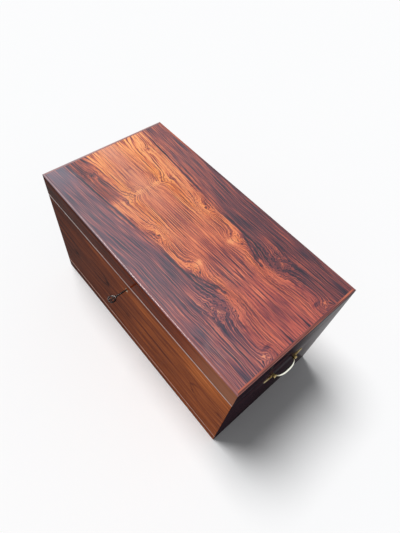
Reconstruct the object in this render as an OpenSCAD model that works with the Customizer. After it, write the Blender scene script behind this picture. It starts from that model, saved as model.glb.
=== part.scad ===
// Trunk bar: a polished rosewood chest on a plain base, with a lid hinged at the back,
// a fall front that drops level for serving, and a swinging bail on each side.
// The origin is the middle of the underside. The front faces -Y and +Z is up.

/* [Case] */
// Width across the outer faces of the side panels
case_w = 900; // [820:1:1000]
// Depth from the front face to the back face
case_d = 467; // [430:1:540]
// Height from the floor to the top of the lid
case_h = 508; // [480:1:560]
// Thickness of the veneered boards
board_t = 19; // [18:0.5:22]
// Height of the base rail under the fall front
rail_h = 46; // [44:1:60]
// Thickness of the bottom board
floor_t = 18; // [12:1:19]
// Thickness of the black laminate linings
lining_t = 1.5; // [1:0.1:2]
// Rounding of the upright corners
corner_r = 1.2; // [0.6:0.1:2]
// Rounding of the edges along the seams
seam_r = 2.5; // [1.5:0.1:2.8]

/* [Lid] */
// Height of the lid from the seam to its top
lid_h = 86; // [70:1:100]
// Gap of the seam under the lid
seam_gap = 1; // [0.6:0.1:1.6]
// Thickness of the lid's top board
top_t = 19; // [16:0.5:22]
// Width of the solid lippings round the top
lipping_w = 9; // [7:0.5:14]
// Rounding of the lid's top edge
lipping_r = 3.5; // [2:0.1:5]

/* [Fall front] */
// Gap between the fall front and the base rail
flap_gap = 0.8; // [0.6:0.1:1.4]
// Sideways gap at each mitre of the fall front
mitre_gap = 0.6; // [0.4:0.1:1.2]
// Distance of the hinge line behind the front face
flap_axis_in = 1.2; // [0.8:0.1:1.6]
// Length of a concealed hinge
hinge_l = 50; // [40:1:70]
// Width of a concealed hinge
hinge_w = 12; // [11:0.5:13]
// Depth of each half of a concealed hinge
hinge_depth = 12; // [10:0.5:16]
// Spacing of the three concealed hinges
flap_hinge_step = 330; // [250:1:380]
// Radius of the quadrant stays
stay_r = 200; // [170:1:210]
// Width of the quadrant stays
stay_w = 8; // [6:0.5:10]
// Thickness of the quadrant stays
stay_t = 3; // [2:0.1:4]

/* [Lid hinges] */
// Length of a lid hinge
butt_l = 64; // [50:1:90]
// Thickness of a hinge leaf
leaf_t = 1.6; // [1.2:0.1:2]
// Outer radius of the hinge knuckles
knuckle_r = 3; // [2.6:0.1:4]
// Radius of the hinge pins
pin_r = 1.5; // [1.2:0.1:1.8]
// Spacing of the three lid hinges
butt_step = 300; // [200:1:360]

/* [Lock and key] */
// Place of the lock along the front, from the middle
lock_x = -5; // [-40:1:40]
// Distance of the keyhole below the seam
key_drop = 36; // [32:1:40]
// Radius of the key's shaft
key_r = 2.5; // [2:0.1:2.8]
// Distance of the middle of the key's bow from the front face
key_reach = 52; // [44:1:60]
// Outer diameter of the key's bow
bow_d = 26; // [20:1:30]
// Radius of the bow's ring
bow_wire_r = 1.9; // [1.4:0.1:2.4]
// Length of the key's bit from the shaft's axis
bit_l = 10; // [8:0.5:11]
// Travel of the bolt
bolt_travel = 10; // [8:0.5:11]
// Width of the lock
lock_w = 60; // [52:1:76]
// Depth of the lock's case
lock_depth = 12; // [11:0.5:13]

/* [Handles] */
// Height of the handles above the floor
handle_z = 312; // [270:1:330]
// Spacing of the two posts of a handle
post_span = 93; // [80:1:120]
// Length of a post along the bail's axis
post_l = 9; // [8:0.5:12]
// Distance of the bail's axis from the side panel
bail_axis_off = 6; // [5.5:0.1:8]
// Reach of the bail from its axis
bail_reach = 12.5; // [11.5:0.1:16]
// Radius of the bail at its ends
bail_r = 2.4; // [2:0.1:2.8]
// Radius of the bail at the middle of its grip
grip_r = 4.2; // [3.4:0.1:4.6]
// Radius of the bail's pins
bail_pin_r = 2; // [1.6:0.1:2.2]
// Length of the tapered foot beyond each post
foot_l = 32; // [24:1:40]

/* [Inside] */
// Thickness of the two partitions
partition_t = 12; // [9:0.5:15]
// Distance of each partition from the middle
partition_x = 136; // [110:1:160]
// Height of the partitions' top edge above the floor
partition_top = 340; // [320:1:350]
// Gap between the stay keepers and the battens of the shelves
shelf_clear = 3.2; // [1:0.1:20]
// Thickness of the shelves
shelf_t = 12; // [9:0.5:15]
// Size of the shelf battens
batten_s = 12; // [9:0.5:14]
// Height of the bottle rack
rack_h = 110; // [80:1:140]
// Thickness of the bottle rack's slats
slat_t = 8; // [6:0.5:10]

/* [Hidden] */
$fn = 64;

// Clearances
fit = 0.05;
seat = 0.1;
slide = 0.4;
eps = 0.01;

// Planes of the case
half_w = case_w / 2;
front_y = -case_d / 2;
back_y = case_d / 2;
seam_z = case_h - lid_h;
body_top = seam_z - seam_gap / 2;
lid_bottom = seam_z + seam_gap / 2;
inner_x = half_w - board_t;
inner_front = front_y + board_t;
inner_back = back_y - board_t;
flap_bottom = rail_h + flap_gap;
lining_front = inner_front + lining_t;
floor_z = floor_t + lining_t;
lining_gap = 0.4;

// Fall front hinge line, concealed hinges and quadrant stays
flap_axis_y = front_y + flap_axis_in;
flap_axis_z = rail_h + flap_gap / 2;
flap_hinge_xs = [-flap_hinge_step, 0, flap_hinge_step];
hinge_y = front_y + seam_r + hinge_w / 2;
link_r = hinge_y - flap_axis_y;
link_w = 2.6;
link_t = 3;
link_half_angle = 55;
link_offsets = [-12, 12];
stay_in = 5.5;
stay_x = inner_x - stay_in;
stay_top_angle = acos((lining_front - flap_axis_y) / stay_r);
keeper_y = lining_front + 4;
keeper_d = 4;
keeper_h = 20;
keeper_in = 12;
keeper_flange_t = 1.8;
keeper_flange_l = 22;
lug_r = 2.5;
lug_over = 1.5;
stay_open_angle = acos((keeper_y + keeper_d + lug_r + 0.3 - flap_axis_y) / stay_r);
stay_tail_angle = stay_open_angle - 90;
tail_over = 1.2;
keeper_z = flap_axis_z + sqrt(stay_r * stay_r - pow(keeper_y + keeper_d / 2 - flap_axis_y, 2));
stay_foot_t = 3;
stay_foot_w = 20;
stay_foot_h = 26;
stay_foot_z = flap_axis_z + stay_r * sin(stay_top_angle);
stay_screw_l = 8;

// Lid hinges
butt_y = back_y + knuckle_r + 0.3;
butt_z = seam_z;
butt_xs = [-butt_step, 0, butt_step];
butt_leaf_w = board_t - 5;
knuckles = 5;
screw_head_r = 3;
screw_r = 1.4;
screw_l = 11;
small_head_r = 2.4;
small_screw_r = 1.2;
cover_screw_l = 8;
cover_screw_in = 3.6;
strike_screw_l = 10;

// Lock
key_z = seam_z - key_drop;
lock_top = body_top;
lock_back = inner_front;
lock_front = lock_back - lock_depth;
lock_wall = 1.5;
lock_bottom = key_z - bit_l - 6;
bit_t = 2.4;
bit_w = 6;
bit_y = lock_back - 7;
bolt_gap = bit_t / 2 + 0.21 * bolt_travel + 0.5;
bolt_foot = key_z + max(key_r, bolt_gap + 0.2 * bit_l / bolt_travel) + 0.6;
bolt_w = 20;
bolt_t = 7;
bolt_tail_w = 30;
bolt_tail_h = 12;
bolt_head_top = lock_top - 0.5;
cover_w = lock_w + 14;
cover_h = 56;
cover_t = lining_t;
cover_z = lock_top - cover_h;
strike_w = lock_w - 6;
strike_t = 1.6;
strike_d = 13;
keyhole_slot = 3.2;
keyhole_play = 0.5;
escutcheon_rim = 1.2;
escutcheon_proud = 0.5;
bolt_play = 0.8;
key_end_r = key_r * 0.8;

// Handles
post_y = post_span / 2;
post_r = 5.2;
boss_r = 4;
boss_l = 9;
foot_r = 4.6;
foot_tip_r = 2.4;
blind_l = 1.5;
handle_screw_r = 2;
handle_head_r = 4.5;
handle_head_t = 2.4;
bail_end_y = post_y - post_l / 2;
neck = 0.6;
tube_sides = 24;
// The bail: a short straight middle, half an ellipse to each side, and a small bend back to the post
bail_turn = 65;
bail_bend_r = 3;
grip_half = 6;
arch_start_y = bail_end_y - neck - bail_bend_r * sin(bail_turn);
arch_run = arch_start_y - grip_half;
arch_drop = bail_reach - bail_bend_r * (1 - cos(bail_turn));
arch_end = acos(1 / (tan(bail_turn) * arch_run / arch_drop - 1));
arch_half_l = arch_run / sin(arch_end);
arch_depth = arch_drop / (1 - cos(arch_end));

// Inside
partition_setback = 20;
partition_front = inner_front + partition_setback;
inside_d = inner_back - partition_front;
side_strip = 14;
batten_setback = 10;
shelf_top = keeper_z + keeper_h / 2 + shelf_clear + batten_s + shelf_t;
rack_x0 = -inner_x + side_strip;
rack_x1 = -partition_x - partition_t / 2;
rack_w = rack_x1 - rack_x0;
rack_columns = 3;
rack_rows = 4;
column_w = (rack_w - (rack_columns - 1) * slat_t) / rack_columns;
row_d = (inside_d - (rack_rows - 1) * slat_t) / rack_rows;
slot_play = 0.15;

// Points of an arc from one angle to another
function arc_points(x, y, r, a0, a1, n) =
    [for (i = [0:n]) [x + r * cos(a0 + (a1 - a0) * i / n), y + r * sin(a0 + (a1 - a0) * i / n)]];

// Box between two corners
module box(a, b) {
    translate(a) cube(b - a);
}

// Cutter that rounds the +Y +Z edge of a board along X
module edge_cutter(l, r) {
    difference() {
        box([-l / 2, -r, -r], [l / 2, 1, 1]);
        translate([-l / 2 - 1, -r, -r]) rotate([0, 90, 0]) cylinder(h = l + 2, r = r);
    }
}

// Rounds an edge along X; turn 0 is +Y +Z, 1 is -Y +Z, 2 is -Y -Z, 3 is +Y -Z
module round_x(y, z, turn, r) {
    translate([0, y, z]) rotate([90 * turn, 0, 0]) edge_cutter(case_w + 20, r);
}

// Rounds an edge along Y; turn 0 is +X +Z, 1 is -X +Z, 2 is -X -Z, 3 is +X -Z
module round_y(x, z, turn, r) {
    translate([x, 0, z]) rotate([0, -90 * turn, 0]) rotate([0, 0, -90]) edge_cutter(case_d + 20, r);
}

// Board along the front, mitred at both ends
module front_board(t, z0, z1, gap) {
    w = half_w - gap;
    translate([0, 0, z0]) linear_extrude(z1 - z0) polygon(concat(
        arc_points(-w + corner_r, front_y + corner_r, corner_r, 225, 270, 3),
        arc_points(w - corner_r, front_y + corner_r, corner_r, 270, 315, 3),
        [[w - t, front_y + t], [-w + t, front_y + t]]));
}

// Board along the back, mitred at both ends
module back_board(t, z0, z1) {
    rotate([0, 0, 180]) front_board(t, z0, z1, 0);
}

// Board along the right side, mitred at both ends
module right_board(t, z0, z1) {
    translate([0, 0, z0]) linear_extrude(z1 - z0) polygon(concat(
        arc_points(half_w - corner_r, front_y + corner_r, corner_r, -45, 0, 3),
        arc_points(half_w - corner_r, back_y - corner_r, corner_r, 0, 45, 3),
        [[half_w - t, back_y - t], [half_w - t, front_y + t]]));
}

// Board along the left side, mitred at both ends
module left_board(t, z0, z1) {
    rotate([0, 0, 180]) right_board(t, z0, z1);
}

// Flat ring sector round an axis along X, with its angles counted from +Y towards +Z
module sector_x(r, w, t, a0, a1) {
    rotate([0, 90, 0]) rotate([0, 0, 90 + a0]) rotate_extrude(angle = a1 - a0, $fn = 180)
        translate([r - w / 2, -t / 2]) square([w, t]);
}

// Cylinder along X from one place to another
module rod_x(x0, x1, r) {
    translate([x0, 0, 0]) rotate([0, 90, 0]) cylinder(h = x1 - x0, r = r);
}

// Cylinder along Y from one place to another
module rod_y(y0, y1, r) {
    translate([0, y1, 0]) rotate([90, 0, 0]) cylinder(h = y1 - y0, r = r);
}

// Block with round ends, its top at z = 0
module stadium(l, w, h) {
    translate([-(l - w) / 2, -w / 2, -h]) cube([l - w, w, h]);
    for (s = [-1, 1]) translate([s * (l - w) / 2, 0, -h]) cylinder(h = h, r = w / 2);
}

// Countersunk screw that points down, its head flush with z = 0
module screw(head_r, r, l) {
    difference() {
        union() {
            translate([0, 0, -head_r + r]) cylinder(h = head_r - r, r1 = r, r2 = head_r);
            translate([0, 0, -l]) cylinder(h = l - head_r + r + eps, r = r);
            translate([0, 0, -l - r]) cylinder(h = r + eps, r1 = 0.2, r2 = r);
        }
        box([-head_r, -0.4, -0.8], [head_r, 0.4, 1]);
    }
}

// Room for a countersunk screw
module screw_room(head_r, r, l) {
    translate([0, 0, -head_r + r]) cylinder(h = head_r - r, r1 = r + seat, r2 = head_r + seat);
    translate([0, 0, -seat]) cylinder(h = 1, r = head_r + seat);
    translate([0, 0, -l - r - seat]) cylinder(h = l + r, r = r + seat);
}

// Small screw, and the room for it
module small_screw(l) {
    screw(small_head_r, small_screw_r, l);
}

module small_screw_room(l) {
    screw_room(small_head_r, small_screw_r, l);
}

// Puts its children at each lid hinge
module at_lid_hinges() {
    for (x = butt_xs) translate([x, butt_y, butt_z]) children();
}

// Leaf screws of one lid hinge, seen from the seam down
module at_leaf_screws() {
    for (x = butt_xs) for (s = [-1, 1])
        translate([x + s * butt_l * 0.3, back_y - butt_leaf_w / 2 - 1, 0]) children();
}

// One knuckle of a lid hinge
module knuckle(i, play) {
    step = butt_l / knuckles;
    rod_x(-butt_l / 2 + i * step + play, -butt_l / 2 + (i + 1) * step - play, knuckle_r);
}

// Leaf of a lid hinge; side is -1 below the seam and 1 above it
module hinge_leaf(side, first) {
    low = side < 0 ? -seam_gap / 2 - leaf_t : seam_gap / 2;
    difference() {
        union() {
            box([-butt_l / 2, back_y - butt_leaf_w - butt_y, low],
                [butt_l / 2, -knuckle_r - 0.1, low + leaf_t]);
            for (i = [first:2:knuckles - 1]) {
                step = butt_l / knuckles;
                box([-butt_l / 2 + i * step + 0.1, -knuckle_r - 0.2, low],
                    [-butt_l / 2 + (i + 1) * step - 0.1, 0, low + leaf_t]);
                knuckle(i, 0.1);
            }
        }
        rod_x(-butt_l, butt_l, pin_r + fit);
    }
}

// Pocket for the leaves of the lid hinges; side is -1 below the seam and 1 above it
module leaf_pockets(side) {
    z = side < 0 ? body_top - leaf_t : lid_bottom - 1;
    for (x = butt_xs)
        box([x - butt_l / 2 - seat, back_y - butt_leaf_w - seat, z - (side < 0 ? seat : 0)],
            [x + butt_l / 2 + seat, back_y + 1, z + leaf_t + 1 + seat]);
}

// Keyhole outline that grows by a margin, in the plane of the front
module keyhole(grow) {
    circle(r = key_r + keyhole_play + grow);
    translate([-keyhole_slot / 2 - grow, -bit_l - bolt_play - grow])
        square([keyhole_slot + 2 * grow, bit_l + bolt_play + grow]);
}

// Keyhole cut from one depth to another
module keyhole_cut(y0, y1, grow) {
    translate([lock_x, y1, key_z]) rotate([90, 0, 0]) linear_extrude(y1 - y0) keyhole(grow);
}

// Room that the concealed hinges take; side is -1 in the base rail and 1 in the fall front
module hinge_sockets(side) {
    for (x = flap_hinge_xs) translate([x, hinge_y, side < 0 ? rail_h : flap_bottom])
        rotate([side < 0 ? 0 : 180, 0, 0]) translate([0, 0, 1])
            stadium(hinge_l + 2 * seat, hinge_w + 2 * seat, hinge_depth + 1 + seat);
}

// Half of each concealed hinge, slotted for its links
module hinge_halves(side) {
    difference() {
        for (x = flap_hinge_xs) translate([x, hinge_y, side < 0 ? rail_h : flap_bottom])
            rotate([side < 0 ? 0 : 180, 0, 0]) stadium(hinge_l, hinge_w, hinge_depth);
        for (x = flap_hinge_xs) for (o = link_offsets) translate([x + o, flap_axis_y, flap_axis_z])
            sector_x(link_r, link_w + 0.5, link_t + 0.5, -89, 89);
    }
}

// Quadrant stay on one side; s is 1 on the right and -1 on the left
module stay(s) {
    translate([s * stay_x, flap_axis_y, flap_axis_z])
        sector_x(stay_r, stay_w, stay_t, stay_tail_angle - tail_over, stay_top_angle);
    translate([s * stay_x, flap_axis_y + stay_r * cos(stay_tail_angle),
        flap_axis_z + stay_r * sin(stay_tail_angle)])
            rod_x(-stay_t / 2 - lug_over, stay_t / 2 + lug_over, lug_r);
    z = stay_foot_z;
    difference() {
        box([s > 0 ? stay_x - stay_foot_w : -stay_x - stay_t / 2, lining_front, z - stay_foot_h / 2],
            [s > 0 ? stay_x + stay_t / 2 : -stay_x + stay_foot_w, lining_front + stay_foot_t,
             z + stay_foot_h / 2]);
        at_foot_screws() small_screw_room(stay_screw_l);
    }
}

// Space that a stay sweeps past the floor and through its keeper
module stay_room(s) {
    translate([s * stay_x, flap_axis_y, flap_axis_z])
        sector_x(stay_r, stay_w + 2 * slide, stay_t + 2 * slide, stay_tail_angle - 2 * tail_over, 88);
    translate([s * stay_x, flap_axis_y + stay_r * cos(stay_tail_angle),
        flap_axis_z + stay_r * sin(stay_tail_angle)])
            rod_x(-stay_t / 2 - lug_over - slide, stay_t / 2 + lug_over + slide, lug_r + slide);
}

// Puts its children at the screws of the stays' feet, pointing into the fall front
module at_foot_screws() {
    for (s = [-1, 1]) for (k = [-1, 1])
        translate([s * (stay_x - stay_foot_w * 0.6), lining_front + stay_foot_t,
            stay_foot_z + k * stay_foot_h * 0.3]) rotate([-90, 0, 0]) children();
}

// Puts its children at the screws of one keeper, pointing into its side panel
module at_keeper_screws(s) {
    for (k = [-1, 1]) mirror([s > 0 ? 0 : 1, 0, 0])
        translate([inner_x - keeper_flange_t, keeper_y + keeper_flange_l - 6,
            keeper_z + k * keeper_h * 0.25]) rotate([0, -90, 0]) children();
}

// Keeper of a stay on one side
module stay_keeper(s) {
    difference() {
        mirror([s > 0 ? 0 : 1, 0, 0]) union() {
            box([inner_x - keeper_in, keeper_y, keeper_z - keeper_h / 2],
                [inner_x, keeper_y + keeper_d, keeper_z + keeper_h / 2]);
            box([inner_x - keeper_flange_t, keeper_y, keeper_z - keeper_h / 2],
                [inner_x, keeper_y + keeper_flange_l, keeper_z + keeper_h / 2]);
        }
        translate([s * stay_x, flap_axis_y, flap_axis_z])
            sector_x(stay_r, stay_w + 2 * slide, stay_t + 2 * slide, 60, 89.5);
        at_keeper_screws(s) small_screw_room(stay_screw_l);
    }
}

// Post of a handle with its tapered foot, its bail hole towards -Y
module handle_post() {
    difference() {
        union() {
            intersection() {
                union() {
                    translate([bail_axis_off, 0, 0]) rod_y(-post_l / 2, post_l / 2, post_r);
                    box([0, -post_l / 2, -post_r], [bail_axis_off, post_l / 2, post_r]);
                    translate([0, post_l / 2 - eps, 0]) rotate([-90, 0, 0]) rotate_extrude()
                        polygon(concat([[0, 0], [foot_r, 0]], arc_points(0, foot_l, foot_tip_r, 6, 84, 6),
                            [[0, foot_l + foot_tip_r]]));
                }
                box([0, -post_l, -2 * post_r], [3 * post_r, post_l + foot_l + foot_tip_r + 1, 2 * post_r]);
            }
            rod_x(-boss_l, eps, boss_r);
        }
        translate([bail_axis_off, 0, 0]) rod_y(-post_l, post_l / 2 - blind_l, bail_pin_r + fit);
        rod_x(-boss_l - 1, -1, handle_screw_r + fit);
    }
}

// Puts its children at the four handle posts, each with its bail hole towards the middle
module at_post(s, t) {
    mirror([s > 0 ? 0 : 1, 0, 0]) mirror([0, t > 0 ? 0 : 1, 0])
        translate([half_w, post_y, handle_z]) children();
}

// Ring of a swept tube: place, radius and turn of the tube away from +Y
function ring(p, r, turn) =
    [for (i = [0:tube_sides - 1]) let (a = 360 * i / tube_sides)
        [p[0] + r * cos(a) * cos(turn), p[1] + r * cos(a) * sin(turn), r * sin(a)]];

// Radius of the bail, thick in the middle and thinner towards the posts
function bail_radius(y) = bail_r + (grip_r - bail_r) * pow(cos(min(90, 90 * y / arch_start_y)), 1.2);

// Rings of half a bail, from the middle of the grip to the post at +Y
function grip_rings() = [for (i = [0:2]) let (y = grip_half * i / 2) ring([bail_reach, y], bail_radius(y), 0)];
function arch_rings() = [for (i = [1:12]) let (a = arch_end * i / 12, y = grip_half + arch_half_l * sin(a))
    ring([bail_reach - arch_depth * (1 - cos(a)), y], bail_radius(y),
        atan2(arch_depth * sin(a), arch_half_l * cos(a)))];
function bend_rings() = [for (i = [1:5]) let (a = bail_turn * (1 - i / 5))
    ring([bail_bend_r * (1 - cos(a)), bail_end_y - neck - bail_bend_r * sin(a)], bail_r, a)];
function half_rings() = concat(grip_rings(), arch_rings(), bend_rings(),
    [ring([0, bail_end_y - 0.3], bail_r, 0)]);

// The same rings turned over to the post at -Y
function mirrored_rings(rings) = [for (k = [len(rings) - 1:-1:1]) [for (p = rings[k]) [p[0], -p[1], p[2]]]];

// Closed tube through a list of rings
module tube(rings) {
    n = len(rings);
    m = tube_sides;
    sides = [for (k = [0:n - 2]) for (i = [0:m - 1]) let (j = (i + 1) % m)
        each [[k * m + i, (k + 1) * m + j, (k + 1) * m + i], [k * m + i, k * m + j, (k + 1) * m + j]]];
    caps = [[for (i = [m - 1:-1:0]) i], [for (i = [0:m - 1]) (n - 1) * m + i]];
    polyhedron(points = [for (r = rings) each r], faces = concat(sides, caps));
}

// Bail on one side, standing straight out as it is left after carrying
module bail(s) {
    half = half_rings();
    mirror([s > 0 ? 0 : 1, 0, 0]) translate([half_w + bail_axis_off, 0, handle_z]) {
        tube(concat(mirrored_rings(half), half));
        for (t = [-1, 1]) mirror([0, t > 0 ? 0 : 1, 0])
            rod_y(bail_end_y - neck, bail_end_y + post_l - blind_l - 0.5, bail_pin_r);
    }
}

// Holes for the handles in the right side panel
module handle_holes() {
    for (t = [-1, 1]) translate([0, t * post_y, handle_z]) {
        rod_x(half_w - boss_l - 0.3, half_w + 1, boss_r + seat);
        rod_x(inner_x - 1, half_w, handle_screw_r + seat);
    }
}

module base_board() {
    color("#3a2620") difference() {
        box([-inner_x, inner_front, 0], [inner_x, inner_back, floor_t]);
        for (s = [-1, 1]) stay_room(s);
    }
}

module base_rail() {
    color("#5a2c1e") difference() {
        front_board(board_t, 0, rail_h, 0);
        round_x(front_y, rail_h, 1, seam_r);
        hinge_sockets(-1);
    }
}

module side_panel_right() {
    color("#2a1a20") difference() {
        right_board(board_t, 0, body_top);
        round_y(half_w, body_top, 0, seam_r);
        handle_holes();
        at_keeper_screws(1) small_screw_room(stay_screw_l);
    }
}

module side_panel_left() {
    color("#2a1a20") difference() {
        left_board(board_t, 0, body_top);
        round_y(-half_w, body_top, 1, seam_r);
        mirror([1, 0, 0]) handle_holes();
        at_keeper_screws(-1) small_screw_room(stay_screw_l);
    }
}

module back_panel() {
    color("#3c241c") difference() {
        back_board(board_t, 0, body_top);
        round_x(back_y, body_top, 0, seam_r);
        leaf_pockets(-1);
        translate([0, 0, body_top]) at_leaf_screws() screw_room(screw_head_r, screw_r, screw_l);
    }
}

module floor_lining() {
    color("#151515") difference() {
        box([-inner_x, inner_front, floor_t], [inner_x, inner_back, floor_z]);
        for (s = [-1, 1]) stay_room(s);
    }
}

module partition(x) {
    box([x - partition_t / 2, partition_front, floor_z], [x + partition_t / 2, inner_back, partition_top]);
}

module partition_left() {
    color("#4a2a1c") partition(-partition_x);
}

module partition_right() {
    color("#4a2a1c") partition(partition_x);
}

module shelf_centre() {
    color("#4a2a1c") box([-partition_x + partition_t / 2, partition_front, shelf_top - shelf_t],
        [partition_x - partition_t / 2, inner_back, shelf_top]);
}

module shelf_right() {
    color("#4a2a1c") box([partition_x + partition_t / 2, partition_front, shelf_top - shelf_t],
        [inner_x, inner_back, shelf_top]);
}

module shelf_battens() {
    z = shelf_top - shelf_t;
    a = partition_x - partition_t / 2;
    b = partition_x + partition_t / 2;
    color("#4a2a1c") for (x = [-a, a - batten_s, b, inner_x - batten_s])
        box([x, partition_front + batten_setback, z - batten_s], [x + batten_s, inner_back, z]);
}

module bottle_rack_long_slats() {
    color("#4a2a1c") for (i = [1:rack_rows - 1]) difference() {
        y = partition_front + i * row_d + (i - 1) * slat_t;
        box([rack_x0, y, floor_z], [rack_x1, y + slat_t, floor_z + rack_h]);
        for (k = [1:rack_columns - 1]) {
            x = rack_x0 + k * column_w + (k - 1) * slat_t;
            box([x - slot_play, y - 1, floor_z + rack_h / 2],
                [x + slat_t + slot_play, y + slat_t + 1, floor_z + rack_h + 1]);
        }
    }
}

module bottle_rack_cross_slats() {
    color("#4a2a1c") for (k = [1:rack_columns - 1]) difference() {
        x = rack_x0 + k * column_w + (k - 1) * slat_t;
        box([x, partition_front, floor_z], [x + slat_t, inner_back, floor_z + rack_h]);
        for (i = [1:rack_rows - 1]) {
            y = partition_front + i * row_d + (i - 1) * slat_t;
            box([x - 1, y - slot_play, floor_z - 1],
                [x + slat_t + 1, y + slat_t + slot_play, floor_z + rack_h / 2]);
        }
    }
}

module flap_hinge_lower_halves() {
    color("#b8984a") hinge_halves(-1);
}

module flap_hinge_upper_halves() {
    color("#b8984a") hinge_halves(1);
}

module flap_hinge_links() {
    color("#a08440") for (x = flap_hinge_xs) for (o = link_offsets)
        translate([x + o, flap_axis_y, flap_axis_z])
            sector_x(link_r, link_w, link_t, -link_half_angle, link_half_angle);
}

module flap_panel() {
    color("#6a3622") difference() {
        front_board(board_t, flap_bottom, body_top, mitre_gap);
        round_x(front_y, body_top, 1, seam_r);
        round_x(front_y, flap_bottom, 2, seam_r);
        hinge_sockets(1);
        box([lock_x - lock_w / 2 - seat, lock_front - seat, lock_bottom - seat],
            [lock_x + lock_w / 2 + seat, lock_back + 1, lock_top + 1]);
        keyhole_cut(front_y - 1, lock_front + 1, escutcheon_rim + seat);
        at_foot_screws() small_screw_room(stay_screw_l);
        at_cover_screws() small_screw_room(cover_screw_l);
    }
}

module flap_lining() {
    w = inner_x - mitre_gap - lining_gap;
    color("#151515") difference() {
        box([-w, inner_front, flap_bottom + lining_gap], [w, lining_front, body_top - lining_gap]);
        box([lock_x - cover_w / 2 - seat, inner_front - 1, cover_z - seat],
            [lock_x + cover_w / 2 + seat, lining_front + 1, body_top + 1]);
        at_foot_screws() small_screw_room(stay_screw_l);
    }
}

module stay_left() {
    color("#c0a050") stay(-1);
}

module stay_right() {
    color("#c0a050") stay(1);
}

module stay_foot_screws() {
    color("#a88c44") at_foot_screws() small_screw(stay_screw_l);
}

module stay_keeper_screws() {
    color("#a88c44") for (s = [-1, 1]) at_keeper_screws(s) small_screw(stay_screw_l);
}

module stay_keeper_left() {
    color("#c0a050") stay_keeper(-1);
}

module stay_keeper_right() {
    color("#c0a050") stay_keeper(1);
}

module escutcheon() {
    color("#c8b068") difference() {
        keyhole_cut(front_y - escutcheon_proud, lock_front - seat, escutcheon_rim);
        keyhole_cut(front_y - 2, lock_front + 2, 0);
    }
}

module lock_case() {
    w = lock_wall;
    color("#b09048") difference() {
        box([lock_x - lock_w / 2, lock_front, lock_bottom], [lock_x + lock_w / 2, lock_back, lock_top]);
        box([lock_x - lock_w / 2 + w, lock_front + w, lock_bottom + w],
            [lock_x + lock_w / 2 - w, lock_back + 1, lock_top - w]);
        keyhole_cut(lock_front - 1, lock_front + w + 1, 0);
        box([lock_x - bolt_w / 2 - slide, bit_y - bolt_t / 2 - slide, lock_top - w - 1],
            [lock_x + bolt_w / 2 + slide, bit_y + bolt_t / 2 + slide, lock_top + 1]);
    }
}

// Puts its children at the screws of the lock's cover, pointing into the fall front
module at_cover_screws() {
    for (s = [-1, 1]) for (z = [cover_z + 5, body_top - 9])
        translate([lock_x + s * (cover_w / 2 - cover_screw_in), inner_front + cover_t, z])
            rotate([-90, 0, 0]) children();
}

module lock_cover() {
    color("#c8b068") difference() {
        box([lock_x - cover_w / 2, inner_front, cover_z],
            [lock_x + cover_w / 2, inner_front + cover_t, body_top - lining_gap]);
        translate([lock_x, 0, key_z]) rod_y(inner_front - 1, inner_front + cover_t + 1, key_end_r + fit);
        at_cover_screws() small_screw_room(cover_screw_l);
    }
}

module lock_cover_screws() {
    color("#a88c44") at_cover_screws() small_screw(cover_screw_l);
}

module lock_bolt() {
    color("#d0c090") {
        box([lock_x - bolt_tail_w / 2, bit_y - bit_w / 2, bolt_foot],
            [lock_x + bolt_tail_w / 2, bit_y + bit_w / 2, bolt_foot + bolt_tail_h]);
        box([lock_x - bolt_w / 2, bit_y - bolt_t / 2, bolt_foot + bolt_tail_h - 1],
            [lock_x + bolt_w / 2, bit_y + bolt_t / 2, bolt_head_top]);
    }
}

module key() {
    bow_y = front_y - key_reach;
    ring_r = bow_d / 2 - bow_wire_r;
    neck_y = bow_y + ring_r;
    color("#3a3632") translate([lock_x, 0, key_z]) {
        difference() {
            union() {
                rod_y(neck_y, bit_y + bit_w / 2 + 0.5, key_r);
                rod_y(bit_y, inner_front + cover_t, key_end_r);
                rod_y(neck_y + 1.5, neck_y + 4.5, key_r + 1.6);
                rod_y(neck_y + 6, neck_y + 7.5, key_r + 0.9);
                box([-bit_l, bit_y - bit_w / 2, -bit_t / 2], [0, bit_y + bit_w / 2, bit_t / 2]);
            }
            box([-bit_l * 0.72, bit_y - 0.5, -bit_t], [-bit_l * 0.5, bit_y + bit_w, bit_t]);
        }
        translate([0, bow_y, 0]) {
            rotate_extrude() translate([ring_r, 0]) circle(r = bow_wire_r, $fn = 32);
            rod_y(-ring_r, ring_r + 0.5, bow_wire_r * 0.75);
            for (s = [-1, 1]) translate([s * ring_r * 0.45, 0, 0])
                rotate_extrude() translate([ring_r * 0.42, 0]) circle(r = bow_wire_r * 0.6, $fn = 24);
        }
    }
}

// Mortise in the lid for the bolt, up to a height above the lid's lower edge
module bolt_room(h) {
    box([lock_x - bolt_w / 2 - bolt_play, bit_y - bolt_t / 2 - bolt_play, lid_bottom - 1],
        [lock_x + bolt_w / 2 + bolt_play, bit_y + bolt_t / 2 + bolt_play, lid_bottom + h]);
}

module strike_plate() {
    color("#c8b068") difference() {
        box([lock_x - strike_w / 2, bit_y - strike_d / 2, lid_bottom],
            [lock_x + strike_w / 2, bit_y + strike_d / 2, lid_bottom + strike_t]);
        bolt_room(strike_t + 1);
        at_strike_screws() small_screw_room(strike_screw_l);
    }
}

// Puts its children at the screws of the strike plate, pointing up into the lid
module at_strike_screws() {
    for (s = [-1, 1]) translate([lock_x + s * (strike_w / 2 + bolt_w / 2) / 2, bit_y, lid_bottom])
        rotate([180, 0, 0]) children();
}

module strike_screws() {
    color("#a88c44") at_strike_screws() small_screw(strike_screw_l);
}

module lid_top_board() {
    color("#8a4028") box([-half_w + lipping_w, front_y + lipping_w, case_h - top_t],
        [half_w - lipping_w, back_y - lipping_w, case_h]);
}

module lid_lipping_front() {
    color("#a05038") difference() {
        front_board(lipping_w, case_h - top_t, case_h, 0);
        round_x(front_y, case_h, 1, lipping_r);
    }
}

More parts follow.
